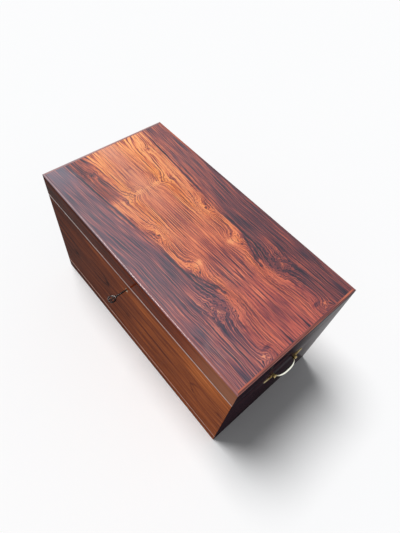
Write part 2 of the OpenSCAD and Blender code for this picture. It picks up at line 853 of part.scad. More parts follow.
module lid_lipping_back() {
    color("#a05038") difference() {
        back_board(lipping_w, case_h - top_t, case_h);
        round_x(back_y, case_h, 0, lipping_r);
    }
}

module lid_lipping_right() {
    color("#a05038") difference() {
        right_board(lipping_w, case_h - top_t, case_h);
        round_y(half_w, case_h, 0, lipping_r);
    }
}

module lid_lipping_left() {
    color("#a05038") difference() {
        left_board(lipping_w, case_h - top_t, case_h);
        round_y(-half_w, case_h, 1, lipping_r);
    }
}

module lid_rail_front() {
    color("#4c2a20") difference() {
        front_board(board_t, lid_bottom, case_h - top_t, 0);
        round_x(front_y, lid_bottom, 2, seam_r);
        box([lock_x - strike_w / 2 - seat, bit_y - strike_d / 2 - seat, lid_bottom - 1],
            [lock_x + strike_w / 2 + seat, bit_y + strike_d / 2 + seat, lid_bottom + strike_t + seat]);
        bolt_room(bolt_travel + 2);
        at_strike_screws() small_screw_room(strike_screw_l);
    }
}

module lid_rail_back() {
    color("#3c241c") difference() {
        back_board(board_t, lid_bottom, case_h - top_t);
        round_x(back_y, lid_bottom, 3, seam_r);
        leaf_pockets(1);
        translate([0, 0, lid_bottom]) at_leaf_screws() rotate([180, 0, 0])
            screw_room(screw_head_r, screw_r, screw_l);
    }
}

module lid_rail_right() {
    color("#2a1a20") difference() {
        right_board(board_t, lid_bottom, case_h - top_t);
        round_y(half_w, lid_bottom, 3, seam_r);
    }
}

module lid_rail_left() {
    color("#2a1a20") difference() {
        left_board(board_t, lid_bottom, case_h - top_t);
        round_y(-half_w, lid_bottom, 2, seam_r);
    }
}

module lid_lining() {
    color("#151515") box([-inner_x, inner_front, case_h - top_t - lining_t],
        [inner_x, inner_back, case_h - top_t]);
}

module lid_hinge_lower_leaves() {
    color("#b8984a") difference() {
        at_lid_hinges() hinge_leaf(-1, 0);
        translate([0, 0, body_top]) at_leaf_screws() screw_room(screw_head_r, screw_r, screw_l);
    }
}

module lid_hinge_upper_leaves() {
    color("#b8984a") difference() {
        at_lid_hinges() hinge_leaf(1, 1);
        translate([0, 0, lid_bottom]) at_leaf_screws() rotate([180, 0, 0])
            screw_room(screw_head_r, screw_r, screw_l);
    }
}

module lid_hinge_pins() {
    color("#a88c44") at_lid_hinges() rod_x(-butt_l / 2 - 0.8, butt_l / 2 + 0.8, pin_r);
}

module lid_hinge_lower_screws() {
    color("#a88c44") translate([0, 0, body_top]) at_leaf_screws() screw(screw_head_r, screw_r, screw_l);
}

module lid_hinge_upper_screws() {
    color("#a88c44") translate([0, 0, lid_bottom]) at_leaf_screws() rotate([180, 0, 0])
        screw(screw_head_r, screw_r, screw_l);
}

module handle_post_left_front() {
    color("#c8b878") at_post(-1, -1) handle_post();
}

module handle_post_left_back() {
    color("#c8b878") at_post(-1, 1) handle_post();
}

module handle_post_right_front() {
    color("#c8b878") at_post(1, -1) handle_post();
}

module handle_post_right_back() {
    color("#c8b878") at_post(1, 1) handle_post();
}

module handle_screws() {
    color("#a88c44") for (s = [-1, 1]) for (t = [-1, 1]) at_post(s, t) difference() {
        union() {
            rod_x(-board_t - eps, -2, handle_screw_r);
            rod_x(-board_t - handle_head_t, -board_t, handle_head_r);
        }
        box([-board_t - handle_head_t - 1, -handle_head_r, -0.6],
            [-board_t - handle_head_t + 1, handle_head_r, 0.6]);
    }
}

module bail_left() {
    color("#d8d0a0") bail(-1);
}

module bail_right() {
    color("#d8d0a0") bail(1);
}

base_board();
base_rail();
side_panel_left();
side_panel_right();
back_panel();
floor_lining();
partition_left();
partition_right();
shelf_centre();
shelf_right();
shelf_battens();
bottle_rack_long_slats();
bottle_rack_cross_slats();
flap_hinge_lower_halves();
flap_hinge_links();
flap_hinge_upper_halves();
flap_panel();
flap_lining();
stay_left();
stay_right();
stay_foot_screws();
stay_keeper_left();
stay_keeper_right();
stay_keeper_screws();
escutcheon();
lock_case();
lock_cover();
lock_cover_screws();
lock_bolt();
key();
strike_plate();
strike_screws();
lid_top_board();
lid_lipping_front();
lid_lipping_back();
lid_lipping_left();
lid_lipping_right();
lid_rail_front();
lid_rail_back();
lid_rail_left();
lid_rail_right();
lid_lining();
lid_hinge_lower_leaves();
lid_hinge_upper_leaves();
lid_hinge_pins();
lid_hinge_lower_screws();
lid_hinge_upper_screws();
handle_post_left_front();
handle_post_left_back();
handle_post_right_front();
handle_post_right_back();
handle_screws();
bail_left();
bail_right();
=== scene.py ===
import math

import bmesh
import bpy
from mathutils import Matrix, Vector


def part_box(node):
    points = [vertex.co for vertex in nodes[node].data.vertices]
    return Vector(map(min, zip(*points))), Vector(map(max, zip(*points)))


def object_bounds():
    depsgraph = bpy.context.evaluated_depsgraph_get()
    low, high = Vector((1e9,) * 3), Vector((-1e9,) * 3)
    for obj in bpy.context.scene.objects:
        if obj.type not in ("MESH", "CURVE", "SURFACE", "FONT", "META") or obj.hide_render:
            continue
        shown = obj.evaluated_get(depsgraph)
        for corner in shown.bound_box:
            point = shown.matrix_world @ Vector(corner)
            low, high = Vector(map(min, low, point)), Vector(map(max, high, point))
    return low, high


# Trunk bar: rosewood veneers in clear lacquer, black laminate linings, brass handles and fittings, iron key
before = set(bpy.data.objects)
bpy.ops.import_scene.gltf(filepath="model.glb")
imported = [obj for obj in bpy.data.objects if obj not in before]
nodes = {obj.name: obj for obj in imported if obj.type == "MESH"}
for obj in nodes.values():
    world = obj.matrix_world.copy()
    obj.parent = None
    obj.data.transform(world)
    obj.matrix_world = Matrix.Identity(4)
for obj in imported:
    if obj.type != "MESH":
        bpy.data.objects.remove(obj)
cad_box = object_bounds()

# Places taken from the pieces in model.glb, in metres
FRONT_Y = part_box("lid_lipping_front")[0].y
BACK_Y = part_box("lid_lipping_back")[1].y
RIGHT_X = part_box("lid_lipping_right")[1].x
TOP_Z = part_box("lid_top_board")[1].z
RAIL_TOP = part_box("base_rail")[1].z
SEAM_Z = (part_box("flap_panel")[1].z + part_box("lid_rail_front")[0].z) / 2
KEY_Z = (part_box("key")[0].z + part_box("key")[1].z) / 2
BAIL_Z = (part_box("bail_right")[0].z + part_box("bail_right")[1].z) / 2

# Camera at the photograph's viewing angle
IMAGE_H = 533
SENSOR_MM = 36
FOCAL_PX = 400.376
EYE = Vector((0.54024, -0.53395, 1.43626))
GAZE = Vector((-0.37360, 0.41788, -0.82813))
TO_THE_RIGHT = Vector((0.65170, 0.75356, 0.08625))

# Studio light and the pale floor; the floor sends less light back to the object than it shows
SKY_LEVEL = 0.20
SKY_COLOUR = (0.96, 0.98, 1.0)
WHITE = (1.0, 1.0, 1.0)
SUN_FROM = Vector((-0.38, -0.055, 0.92))
SUN_STRENGTH = 2.78
SUN_COLOUR = (0.985, 0.985, 0.99)
SUN_ANGLE = math.radians(27)
FLOOR_LIT = 0.975
FLOOR_BOUNCE = 0.80
FLOOR_HALF = 30
FLOOR_GAP = 0.0004


def make_camera():
    """Camera where the photograph was taken from"""
    data = bpy.data.cameras.new("camera")
    data.sensor_width = SENSOR_MM
    data.lens = FOCAL_PX * SENSOR_MM / IMAGE_H
    data.clip_start = 0.05
    data.clip_end = 200
    camera = bpy.data.objects.new("camera", data)
    bpy.context.scene.collection.objects.link(camera)
    back = -GAZE.normalized()
    right = (TO_THE_RIGHT - TO_THE_RIGHT.dot(back) * back).normalized()
    turn = Matrix((right, back.cross(right), back)).transposed()
    camera.matrix_world = Matrix.Translation(EYE) @ turn.to_4x4()
    bpy.context.scene.camera = camera


class Value:
    """A socket that Python's operators turn into Math nodes"""

    def __init__(self, owner, socket):
        self.owner = owner
        self.socket = socket

    def __add__(self, other):
        return self.owner.maths("ADD", self, other)

    def __sub__(self, other):
        return self.owner.maths("SUBTRACT", self, other)

    def __rsub__(self, other):
        return self.owner.maths("SUBTRACT", other, self)

    def __mul__(self, other):
        return self.owner.maths("MULTIPLY", self, other)

    def __truediv__(self, other):
        return self.owner.maths("DIVIDE", self, other)

    def __abs__(self):
        return self.owner.maths("ABSOLUTE", self)

    __radd__ = __add__
    __rmul__ = __mul__


class Nodes:
    """The nodes of one tree, each made with its settings and inputs in one call"""

    def __init__(self, tree):
        self.tree = tree

    def feed(self, socket, value):
        """Links a value to a socket, or sets it there; a colour may leave out its alpha"""
        if isinstance(value, Value):
            self.tree.links.new(value.socket, socket)
            return
        if socket.type == "RGBA" and len(value) == 3:
            value = (*value, 1)
        socket.default_value = value

    def node(self, kind, settings=None, inputs=None, output=0):
        """Any node: its settings come first, then its inputs by name or number"""
        made = self.tree.nodes.new(kind)
        for name, value in (settings or {}).items():
            if name == "stops":
                while len(made.color_ramp.elements) < len(value):
                    made.color_ramp.elements.new(0.5)
                for element, (position, colour) in zip(made.color_ramp.elements, value):
                    element.position = position
                    element.color = (*colour, 1)
            else:
                setattr(made, name, value)
        for key, value in (inputs or {}).items():
            self.feed(made.inputs[key], value)
        return Value(self, made.outputs[output])

    def maths(self, operation, *values):
        return self.node("ShaderNodeMath", {"operation": operation}, dict(enumerate(values)))

    def ray(self, *kinds):
        """1 where any of these kinds of ray sees the surface or the sky"""
        seen = 0.0
        for kind in kinds:
            seen = self.maths("MAXIMUM", self.node("ShaderNodeLightPath", output="Is %s Ray" % kind), seen)
        return seen


class Finish(Nodes):
    """A material and the nodes that make it, with the place on the piece in metres"""

    def __init__(self, name):
        self.material = bpy.data.materials.new(name)
        self.material.use_nodes = True
        super().__init__(self.material.node_tree)
        self.surface = self.tree.nodes["Principled BSDF"]
        self.place = self.node("ShaderNodeTexCoord", output="Object")
        parts = self.node("ShaderNodeSeparateXYZ", None, {0: self.place}).socket.node
        self.x, self.y, self.z = (Value(self, s) for s in parts.outputs)

    def smooth(self, value, low, high):
        """0 below low, 1 above high, and an even curve between them; high may be the lower one"""
        if low > high:
            return 1 - self.smooth(value, high, low)
        return self.node("ShaderNodeMapRange", {"interpolation_type": "SMOOTHSTEP"},
                         {"Value": value, "From Min": low, "From Max": high})

    def hill(self, value, centre, width):
        """1 at the centre, falling off as a bell"""
        off = (value - centre) / width
        return self.maths("EXPONENT", off * off * -1)

    def point(self, x, y, z=0.0):
        return self.node("ShaderNodeCombineXYZ", None, {0: x, 1: y, 2: z})

    def noise(self, point, scale=1.0, detail=2.0, roughness=0.5):
        """Soft noise about 0, from -1 to 1"""
        raw = self.node("ShaderNodeTexNoise", {"noise_dimensions": "3D"},
                        {"Vector": point, "Scale": scale, "Detail": detail, "Roughness": roughness})
        return (raw - 0.5) * 2

    def cells(self, point, scale):
        """Distance to the nearest of many scattered points"""
        return self.node("ShaderNodeTexVoronoi", None, {"Vector": point, "Scale": scale}, "Distance")

    def mix(self, share, first, second):
        """Colour that goes from first to second"""
        return self.node("ShaderNodeMix", {"data_type": "RGBA", "clamp_factor": True},
                         {0: share, 6: first, 7: second}, 2)

    def tint(self, share, colour, factors):
        """Colour that goes to itself times three factors"""
        tinted = self.node("ShaderNodeVectorMath", {"operation": "MULTIPLY"}, {0: colour, 1: factors})
        return self.mix(share, colour, tinted)

    def shade(self, colour, level):
        """Colour times a level"""
        return self.node("ShaderNodeVectorMath", {"operation": "SCALE"}, {0: colour, "Scale": level})

    def ramp(self, value, stops):
        return self.node("ShaderNodeValToRGB", {"stops": stops}, {0: value})

    def set(self, **sockets):
        """Feeds the surface's sockets, written with _ for a space"""
        for name, value in sockets.items():
            self.feed(self.surface.inputs[name.replace("_", " ")], value)

    def bump(self, height, depth):
        """Relief of a height from -1 to 1, and its depth in metres"""
        made = self.node("ShaderNodeBump", None, {"Strength": 1.0, "Distance": depth, "Height": height})
        self.set(Normal=made)


# Wood in general

# Streaks of the grain, to the metre across it
FINEST_STREAKS = 760
FINE_STREAKS = 430
MIDDLE_STREAKS = 170
BROAD_STREAKS = 45
PORES = 1500
PORE_DARKNESS = 0.35
# Width over which one look gives way to the next at a seam or an edge
SHARP = 0.0004


def bells(f, x, v, spots):
    """Sum of oval bells, each with its own height"""
    total = 0.0
    for x0, v0, reach_x, reach_v, height in spots:
        total = f.hill(x, x0, reach_x) * f.hill(v, v0, reach_v) * height + total
    return total


def grain(f, x, g, shift, finer=0.0):
    """Streaks of three widths along x; g is the place across the grain, and shift tells woods apart"""
    fine = f.noise(f.point(x * 8, g * FINE_STREAKS, shift), 1, 0) * (1 - finer)
    fine = fine + f.noise(f.point(x * 12, g * FINEST_STREAKS, shift), 1, 0) * (finer + 0.7)
    middle = f.noise(f.point(x * 4, g * MIDDLE_STREAKS, shift + 7), 1, 2)
    broad = f.noise(f.point(x * 5, g * BROAD_STREAKS, shift + 13), 1, 1)
    return fine, middle, broad


def dark_lines(f, x, g, shift):
    """Thin dark lines along the grain that come and go, 1 in a line"""
    lines = f.noise(f.point(x * 5, g * 460, shift + 23), 1, 0)
    where = f.noise(f.point(x * 11, g * 40, shift + 31), 1, 1)
    return f.smooth(lines + where * 0.5, 0.16, 0.36)


def pores(f, x, g):
    """Short open pores along the grain, 1 in a pore"""
    return f.smooth(f.noise(f.point(x * 95, g * PORES, 3.0), 1, 0), 0.35, 0.6)


def lacquer(f, weight, gloss):
    """Clear lacquer over wood, the only thing on it that shines; gives its coarse and fine smears back"""
    f.set(Coat_Weight=weight)
    f.surface.inputs["Specular IOR Level"].default_value = 0.0
    f.surface.inputs["Coat Roughness"].default_value = gloss
    return f.noise(f.place, 9, 3, 0.6), f.noise(f.place, 160, 2)


# Top of the lid

# Tones of rosewood, from its black lines to its brightest curls
ROSEWOOD = [
    (0.00, (0.006, 0.007, 0.016)),
    (0.20, (0.036, 0.018, 0.032)),
    (0.38, (0.114, 0.032, 0.042)),
    (0.54, (0.290, 0.064, 0.052)),
    (0.70, (0.560, 0.140, 0.076)),
    (0.84, (0.800, 0.255, 0.112)),
    (1.00, (0.930, 0.390, 0.160)),
]

# Figure of one leaf of the top veneer: place along the grain, place from the join, reach both ways, lift
TOP_SWIRLS = [
    (-0.208, 0.046, 0.024, 0.034, 0.014),
    (-0.353, 0.108, 0.022, 0.012, 0.009),
    (-0.040, 0.086, 0.046, 0.018, 0.014),
    (0.110, 0.072, 0.032, 0.022, 0.025),
    (0.255, 0.098, 0.060, 0.045, 0.024),
    (0.266, 0.121, 0.017, 0.012, 0.012),
    (0.425, 0.106, 0.022, 0.022, 0.020),
]
# Bright spots at the swirls: place along the grain, place from the join, reach both ways, brightness
TOP_GLOWS = [
    (-0.208, 0.037, 0.007, 0.010, 0.30),
    (-0.207, 0.010, 0.006, 0.026, 0.12),
    (-0.185, 0.070, 0.008, 0.012, 0.12),
    (-0.215, 0.090, 0.070, 0.010, 0.08),
    (-0.035, 0.084, 0.030, 0.012, 0.12),
    (0.110, 0.066, 0.010, 0.014, 0.30),
    (0.265, 0.121, 0.009, 0.008, 0.24),
    (0.420, 0.120, 0.009, 0.010, 0.16),
]
# Dark flecks in the same terms
TOP_FLECKS = [
    (-0.353, 0.110, 0.005, 0.009, 0.30),
    (-0.375, 0.129, 0.040, 0.005, 0.26),
    (-0.240, 0.044, 0.022, 0.004, 0.24),
    (-0.172, 0.042, 0.020, 0.004, 0.08),
    (-0.120, 0.119, 0.026, 0.004, 0.30),
    (0.190, 0.084, 0.020, 0.005, 0.34),
    (0.330, 0.104, 0.030, 0.005, 0.26),
    (0.408, 0.098, 0.004, 0.015, 0.24),
    (0.238, 0.112, 0.008, 0.008, 0.16),
]
# Dark vein between the zones: its place from the join, and its pieces: place along the grain, reach, darkness
TOP_VEIN = 0.114
TOP_VEIN_PIECES = [
    (-0.34, 0.110, 0.75),
    (-0.14, 0.085, 0.60),
    (0.11, 0.100, 0.60),
]
# Join of the two leaves: its place at the middle, and how far it drifts back along the top
JOIN_Y = 0.002
JOIN_DRIFT = 0.010

# Tints of the top, as factors of red, green and blue
RIGHT_TINT = (0.98, 0.86, 1.10)
ORANGE_TINT = (1.04, 0.94, 0.52)
# The left end's paler tint is a painted reflection; the outer tint is partly the wood's cooler hue and partly
# a painted cool cast of reflected light
LEFT_END_REFLECTION_TINT = (1.24, 1.45, 1.45)
OUTER_HUE_AND_REFLECTION_TINT = (0.85, 1.1, 1.7)
# Colours that lie over the top: the rosy hue of the join, and painted reflections of the light (haze, veil
# and sheen)
ROSY = (0.56, 0.25, 0.21)
PAINTED_HAZE = (0.42, 0.28, 0.27)
PAINTED_VEIL = (0.30, 0.30, 0.37)
PAINTED_SHEEN = (0.46, 0.38, 0.40)


class TopLeaf:
    """Places and zones on the top's two leaves, which mirror each other at the join"""

    def __init__(self, f):
        self.x = f.x
        self.v = abs(f.y - f.x * JOIN_DRIFT - JOIN_Y)
        self.near = f.smooth(f.y, 0.004, -0.004)
        self.left = f.smooth(f.x, 0.12, -0.42)
        self.right = f.smooth(f.x, -0.10, 0.42)
        wider = [(x0, v0, reach_x * 1.4, reach_v * 1.5, 1.0) for x0, v0, reach_x, reach_v, _ in TOP_SWIRLS]
        self.curl = bells(f, self.x, self.v, wider)
        self.bend_the_grain(f)
        self.part_the_zones(f)
        self.loose_x = f.noise(f.point(self.x * 55, self.v * 70, 61.0), 1, 2) * 0.012 + self.x
        self.loose_v = f.noise(f.point(self.x * 55, self.v * 70, 71.0), 1, 2) * 0.009 + self.v

    def bend_the_grain(self, f):
        """Place across the grain: the place from the join, bent by waves, swirls and ragged curls"""
        x, v = self.x, self.v
        away = f.smooth(v, 0.045, 0.12)
        long_wave = f.noise(f.point(x * 1.7, v * 4, 5.0), 1, 0) * 0.006 * away
        self.wobble = f.noise(f.point(x * 6, v * 8), 1, 2) * 0.005 + long_wave
        tilt = f.maths("MINIMUM", x, 0.0) * 0.089 * away
        sway = f.noise(f.point(x * 26, v * 30, 8.0), 1, 1) * 0.0016
        ragged = f.noise(f.point(x * 62, v * 85, 2.0), 1, 3) * 0.011 * self.curl
        self.g = v + tilt + self.wobble + sway + ragged + bells(f, x, v, TOP_SWIRLS)

    def part_the_zones(self, f):
        """The bright inner zone along the join, 1 inside its torn edge, and the dark zone outside it"""
        x, g = self.x, self.g
        torn = f.noise(f.point(x * 14, g * 60, 51.0), 1, 2) * 0.016
        torn = torn + f.noise(f.point(x * 48, g * 110, 53.0), 1, 2) * 0.008
        waist = f.hill(x, 0.200, 0.070) * f.hill(self.v, 0.095, 0.040) * 0.020
        self.inner = f.smooth(torn + g + waist, 0.135, 0.100)
        self.outer = 1 - self.inner


def zone_tone(f, leaf):
    """Tone of the two zones, with the bright spots and dark flecks at the swirls"""
    left, right, near = leaf.left, leaf.right, leaf.near
    join_dip = f.smooth(leaf.v, 0.060, 0.035) * 0.05
    inside = left * 0.140 - right * 0.085 - join_dip + 0.755
    outside = left * 0.15 - near * left * 0.12 - (1 - near) * right * 0.02 + near * right * 0.07 + 0.39
    glows = bells(f, leaf.loose_x, leaf.loose_v, TOP_GLOWS)
    flecks = bells(f, leaf.loose_x, leaf.loose_v, TOP_FLECKS)
    return inside * leaf.inner + outside * leaf.outer + glows - flecks


def top_streaks(f, leaf):
    """Streaks, short dashes and dark lines, stronger in the curls at the left and towards the right end"""
    left, right, near, inner, outer = leaf.left, leaf.right, leaf.near, leaf.inner, leaf.outer
    fine, middle, broad = grain(f, leaf.x, leaf.g, 0.0, right * 0.15)
    strength = 1.25 - inner * 0.35 - left * inner * 0.12 + right * 0.40 + outer * (near * 0.24 + 0.06)
    strength = strength + f.smooth(leaf.curl, 0.1, 0.7) * left * inner * 0.45
    streaks = fine * (0.54 - fine * (inner * 0.30 + 0.30)) * strength
    dashes = f.smooth(f.noise(f.point(leaf.x * 24, leaf.g * 420, 33.0), 1, 1), 0.16, 0.42)
    streaks = streaks - dashes * (inner * 0.20 + outer * (right * 0.06 + 0.08))
    streaks = streaks + middle * (0.11 - (left + right) * inner * 0.07 - outer * near * 0.04)
    streaks = streaks + broad * 0.08 - dark_lines(f, leaf.x, leaf.g, 0.0) * (0.22 - left * inner * 0.09)
    return streaks * (inner * 0.28 + 0.72)


def top_veins(f, leaf):
    """Darkness of the vein between the zones, and of the stretch at the right that turns away from it"""
    pieces = 0.0
    for place, reach, darkness in TOP_VEIN_PIECES:
        pieces = f.hill(leaf.x, place, reach) * darkness + pieces
    turned = f.hill((leaf.x - 0.09) * 0.31 + leaf.v + leaf.wobble, TOP_VEIN, 0.0030)
    return f.hill(leaf.g, TOP_VEIN, 0.0027) * pieces + turned * f.hill(leaf.x, 0.150, 0.040) * 0.40


def top_patches(f, leaf):
    """Pale wisps at the outer left, less a dull patch of the near leaf and the darker right end"""
    wisps = f.smooth(f.noise(f.point(leaf.x * 7, leaf.g * 130, 91.0), 1, 2), 0.0, 0.45)
    wisps = wisps * f.hill(leaf.v, 0.146, 0.026) * f.smooth(leaf.x, 0.05, -0.12) * (leaf.near * 0.12 + 0.24)
    dull = f.smooth(leaf.loose_x, -0.195, -0.240) * f.smooth(leaf.loose_v, 0.068, 0.098) * leaf.near
    right_end = f.smooth(leaf.x, 0.24, 0.46)
    return wisps - (dull * 0.36 + right_end * 0.05) * leaf.inner


def top_tints(f, leaf, colour):
    """Hues of the zones: rosy at the join and orange in patches; paler at the left end, a painted reflection;
    cooler outside, partly the wood's hue and partly a painted cool cast of reflected light
    """
    x, v, left, right, inner = leaf.x, leaf.v, leaf.left, leaf.right, leaf.inner
    patch = f.smooth(f.noise(f.point(x * 9, v * 26, 17.0), 1, 2), -0.25, 0.45)
    orange = f.hill(v, 0.072, 0.034) * inner * (patch * 0.85 + 0.15) * (1 - right * 0.6)
    colour = f.tint(right * inner, colour, RIGHT_TINT)
    colour = f.tint(orange, colour, ORANGE_TINT)
    colour = f.mix(f.hill(v, 0.0, 0.030) * left * (patch * 0.20 + 0.25), colour, ROSY)
    # Painted reflection: paler at the left end, and a partly painted cool cast on the outer zone
    colour = f.tint(f.smooth(x, -0.34, -0.44) * inner * 0.9, colour, LEFT_END_REFLECTION_TINT)
    return f.tint(leaf.outer * (leaf.near * 0.45 + 0.10), colour, OUTER_HUE_AND_REFLECTION_TINT)


def top_painted_reflections(f, leaf, colour):
    """Painted reflections of the light in the lacquer: a haze in clouds, a veil towards the left, a sheen
    near the front right
    """
    x, near = leaf.x, leaf.near
    haze = f.smooth(f.noise(f.place, 3.2, 3, 0.6), -0.2, 0.5) * (near * 0.12 + 0.06)
    left_end = f.smooth(x, -0.28, -0.44)
    veil = leaf.outer * f.smooth(x, 0.30, -0.40) * (near * (left_end * 0.26 + 0.10) + 0.08)
    cloud = f.smooth(f.noise(f.place, 16, 3, 0.6), -0.25, 0.45)
    sheen = f.hill(x, 0.33, 0.075) * f.hill(f.y, -0.200, 0.035) * cloud * 0.16
    return f.mix(sheen, f.mix(veil, f.mix(haze, colour, PAINTED_HAZE), PAINTED_VEIL), PAINTED_SHEEN)


def top_colour(f):
    """Book-matched rosewood, bright along the join and dark outside; gives the place across the grain too"""
    leaf = TopLeaf(f)
    tone = zone_tone(f, leaf) + top_streaks(f, leaf) - top_veins(f, leaf) + top_patches(f, leaf)
    # Painted reflections of the light are laid over the wood's colour here
    colour = top_painted_reflections(f, leaf, top_tints(f, leaf, f.ramp(tone, ROSEWOOD)))
    return f.shade(colour, 1 - pores(f, leaf.x, leaf.g) * PORE_DARKNESS), leaf.g


# Front, sides and back

# Tones of the plainer rosewood of the front, the back and the inner pieces
FRONT_WOOD = [
    (0.00, (0.012, 0.004, 0.003)),
    (0.25, (0.064, 0.015, 0.009)),
    (0.45, (0.175, 0.040, 0.015)),
    (0.62, (0.340, 0.082, 0.022)),
    (0.80, (0.570, 0.155, 0.036)),
    (1.00, (0.830, 0.270, 0.070)),
]
SIDE_WOOD = [
    (0.00, (0.011, 0.006, 0.012)),
    (0.25, (0.027, 0.012, 0.020)),
    (0.45, (0.062, 0.022, 0.027)),
    (0.65, (0.140, 0.038, 0.026)),
    (0.85, (0.270, 0.074, 0.034)),
    (1.00, (0.420, 0.130, 0.052)),
]
# Figure of the front and back veneers: place along the face, height, reach both ways, lift
FRONT_SWIRLS = [
    (-0.250, 0.262, 0.120, 0.050, 0.030),
    (0.375, 0.245, 0.070, 0.055, 0.030),
]
BACK_SWIRLS = [
    (0.10, 0.24, 0.16, 0.07, 0.045),
    (-0.25, 0.14, 0.12, 0.05, 0.025),
]
# Dark streaks of the front: place along it, height, reach both ways, darkness
FRONT_STREAKS = [
    (0.110, 0.243, 0.100, 0.0070, 0.26),
    (0.180, 0.168, 0.140, 0.0060, 0.16),
    (0.130, 0.315, 0.120, 0.0050, 0.18),
    (0.200, 0.350, 0.180, 0.0040, 0.14),
    (-0.340, 0.208, 0.016, 0.0120, 0.28),
    (0.430, 0.268, 0.012, 0.0100, 0.16),
    (-0.020, 0.198, 0.012, 0.0140, 0.12),
    (0.050, 0.466, 0.160, 0.0050, 0.14),
]
# Dark arcs of the front: centre, half width and half height, thickness, fade-in from and to, darkness
FRONT_ARCS = [
    ((0.378, 0.245), (0.070, 0.056), 0.07, 0.355, 0.335, 0.16),
    ((-0.205, 0.262), (0.080, 0.036), 0.12, -0.240, -0.190, 0.24),
]
# The lid's front rail: its tint, and the paler brown of its right end
RAIL_TINT = (0.92, 0.62, 0.35)
RAIL_END = (0.50, 0.24, 0.13)


def arc(f, x, z, centre, half_size, thick, from_x, to_x):
    """Dark line along an oval, 1 on the line, fading in from one place along the front to another"""
    across = (x - centre[0]) / half_size[0]
    up = (z - centre[1]) / half_size[1]
    away = f.maths("SQRT", across * across + up * up)
    return f.hill(away, 1.0, thick) * f.smooth(x, from_x, to_x)


def front_tone(f, rail):
    """Tone of the front, darker to the left and on both rails; gives the place across the grain too"""
    x, z = f.x, f.z
    g = f.noise(f.point(x * 3, z * 6), 1, 2) * 0.006 + z + bells(f, x, z, FRONT_SWIRLS)
    fine, middle, broad = grain(f, x, g, 41.0)
    base_rail = f.smooth(z, RAIL_TOP, RAIL_TOP - SHARP)
    lower_right = f.smooth(x, 0.05, 0.35) * f.smooth(z, 0.30, 0.12)
    upper_band = f.hill(z, 0.372, 0.035) * f.smooth(x, -0.30, 0.0)
    upper_right = f.hill(x, 0.34, 0.06) * f.hill(z, 0.385, 0.035)
    tone = f.smooth(x, -0.55, 0.42) * 0.33 + 0.305 - base_rail * 0.05 - rail * 0.09
    tone = tone - lower_right * 0.05 + upper_band * 0.08 + upper_right * 0.07
    return tone + fine * 0.21 + middle * 0.28 + broad * 0.16, g


def front_colour(f):
    """Long-grained rosewood with dark streaks and arcs, running over base rail, fall front and lid rail"""
    loose_x = f.noise(f.point(f.x * 24, f.z * 40, 5.0), 1, 2) * 0.016 + f.x
    loose_z = f.noise(f.point(f.x * 16, f.z * 40, 9.0), 1, 2) * 0.010 + f.z
    rail = f.smooth(f.z, SEAM_Z - SHARP, SEAM_Z + SHARP)
    tone, g = front_tone(f, rail)
    tone = tone - bells(f, loose_x, loose_z, FRONT_STREAKS)
    for *outline, darkness in FRONT_ARCS:
        tone = tone - arc(f, loose_x, loose_z, *outline) * darkness
    colour = f.tint(rail, f.ramp(tone, FRONT_WOOD), RAIL_TINT)
    colour = f.mix(rail * f.smooth(f.x, 0.22, 0.43) * 0.45, colour, RAIL_END)
    return f.shade(colour, 1 - pores(f, f.x, g) * PORE_DARKNESS), g


def side_colour(f):
    """Dark rosewood with a straight grain along the side, redder on the inner faces"""
    which_side = f.smooth(f.x, 0, 0.01) * 9
    g = f.noise(f.point(f.y * 4, f.z * 5, which_side), 1, 2) * 0.006 + f.z
    fine, middle, broad = grain(f, f.y, g, 61.0)
    inside = f.smooth(abs(f.x), RIGHT_X - 0.002, RIGHT_X - 0.005)
    tone = fine * 0.22 + middle * 0.30 + broad * 0.22 + 0.23 + inside * 0.35
    return f.shade(f.ramp(tone, SIDE_WOOD), 1 - pores(f, f.y, g) * 0.3), g


def back_colour(f):
    """Long-grained rosewood of the back, with thin dark lines"""
    x, z = f.x, f.z
    g = f.noise(f.point(x * 3, z * 5, 4.0), 1, 2) * 0.008 + z + bells(f, x, z, BACK_SWIRLS)
    fine, middle, broad = grain(f, x, g, 81.0)
    tone = fine * 0.20 + middle * 0.24 + broad * 0.16 - dark_lines(f, x, g, 81.0) * 0.08 + 0.38
    return f.shade(f.ramp(tone, FRONT_WOOD), 1 - pores(f, x, g) * PORE_DARKNESS), g


# Veneers

# Pale highlight painted on the rounded edges under the seams: how deep below the seam and how wide it lies,
# and its colour at each height
EDGE_DROP = 0.0018
EDGE_REACH = 0.0021
LID_EDGE = SEAM_Z - EDGE_DROP
BASE_EDGE = RAIL_TOP - EDGE_DROP
SEAM_HIGHLIGHT = (0.80, 0.66, 0.63)
BASE_SEAM_HIGHLIGHT = (0.94, 0.50, 0.36)


def smeared_polish(f):
    """Faint smears in an even polish"""
    return f.noise(f.place, 9, 3, 0.6) * 0.12


def lid_rail_polish(f):
    """More polish on the lid's rail than below the seam"""
    return f.smooth(f.z, SEAM_Z, SEAM_Z + SHARP) * 0.045


def side_polish(f):
    """More polish towards the back and behind the bail, where less of it has worn off"""
    behind_bail = f.hill(f.y, 0.0, 0.085) * f.hill(f.z, BAIL_Z + 0.01, 0.035)
    return f.smooth(f.y, -0.06, 0.24) * 0.23 + behind_bail * 0.28


def seam_highlights(f, edges):
    """1 on the rounded edges under the seams, where a pale highlight is painted, stronger in patches"""
    total = 0.0
    for height in edges:
        total = f.hill(f.z, height, EDGE_REACH) + total
    patchiness = f.smooth(f.noise(f.place, 30, 2), -0.6, 0.3)
    return f.maths("MINIMUM", total * (patchiness * 0.4 + 0.6), 1.0)


